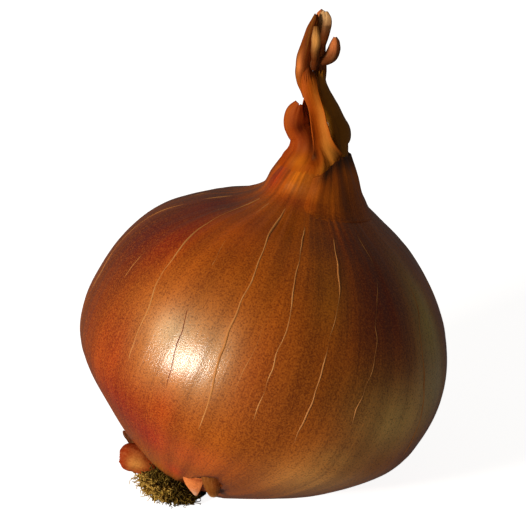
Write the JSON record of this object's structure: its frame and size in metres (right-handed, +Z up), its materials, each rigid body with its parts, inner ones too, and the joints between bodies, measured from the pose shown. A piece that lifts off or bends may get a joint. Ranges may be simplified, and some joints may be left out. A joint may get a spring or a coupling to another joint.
{
  "type": "shallot",
  "caption": "Round shallot bulb with brown papery skin, a withered twisted neck and a tuft of dried roots, resting on a small flat.",
  "frame": {"origin": "on the small flat that the bulb rests on, below its centre of mass", "axes": "+Z up; the bulb leans towards +X and a little towards +Y, with its root end towards -X"},
  "size_m": [0.0442, 0.0446, 0.0592],
  "materials": {
    "outer_skin": "satin",
    "collar_skin": "matte",
    "neck_leaf": "matte",
    "pale_leaf": "matte",
    "torn_skin": "matte",
    "root": "matte"
  },
  "bodies": {
    "root": {"bulb": "outer_skin", "neck_collar": "collar_skin", "neck_strand": "neck_leaf", "neck_leaf_left": "neck_leaf", "neck_leaf_right": "collar_skin", "neck_leaf_back": "neck_leaf", "neck_strip_left": "neck_leaf", "neck_strip_mid": "pale_leaf", "neck_tip": "pale_leaf", "neck_hook": "pale_leaf", "skin_curl_left": "torn_skin", "skin_curl_front": "torn_skin", "skin_curl_roll": "collar_skin", "skin_curl_back": "torn_skin", "root_plate": "root", "root_01": "root", "root_02": "root", "root_03": "root", "root_04": "root", "root_05": "root", "root_06": "root", "root_07": "root", "root_08": "root", "root_09": "root", "root_10": "root", "root_11": "root", "root_12": "root", "root_13": "root"}
  },
  "joints": []
}
